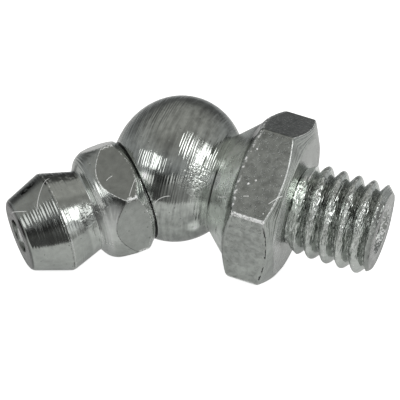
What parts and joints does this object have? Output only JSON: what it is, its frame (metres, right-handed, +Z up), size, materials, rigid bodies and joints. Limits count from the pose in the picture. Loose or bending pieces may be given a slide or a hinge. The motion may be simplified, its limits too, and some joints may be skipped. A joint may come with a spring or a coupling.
{
  "type": "grease nipple",
  "caption": "Elbow grease nipple: threaded stud, hexagon and ball in one piece, with a screwed-in nozzle head at 45 degrees that holds a sprung check ball.",
  "frame": {"origin": "centre of the bounding box in X and Y, on the surface it lies on", "axes": "+Z up, as the fitting lies at rest on one flat of its hexagon and the front of its nozzle head; +X along the threaded stud, seen from above; the nozzle head points towards -X and -Y"},
  "size_m": [0.0236, 0.0138, 0.0109],
  "materials": {
    "zinc_plated_steel": "bright zinc plating over turned and milled steel, with turning marks and small nicks",
    "ball_steel": "polished hardened steel",
    "spring_steel": "drawn spring wire"
  },
  "bodies": {
    "fitting": {"fitting_body": "zinc_plated_steel", "nipple_head": "zinc_plated_steel", "check_spring": "spring_steel"},
    "valve_ball": {"check_ball": "ball_steel"}
  },
  "joints": [
    {"name": "check_ball_lift", "type": "slide", "parent": "fitting", "child": "valve_ball", "axis": [0.7742, 0.5372, 0.3348], "range_m": [0, 0.001], "stiffness_N_per_m": 500, "springref_m": -0.002, "deforming": ["check_spring"]}
  ]
}
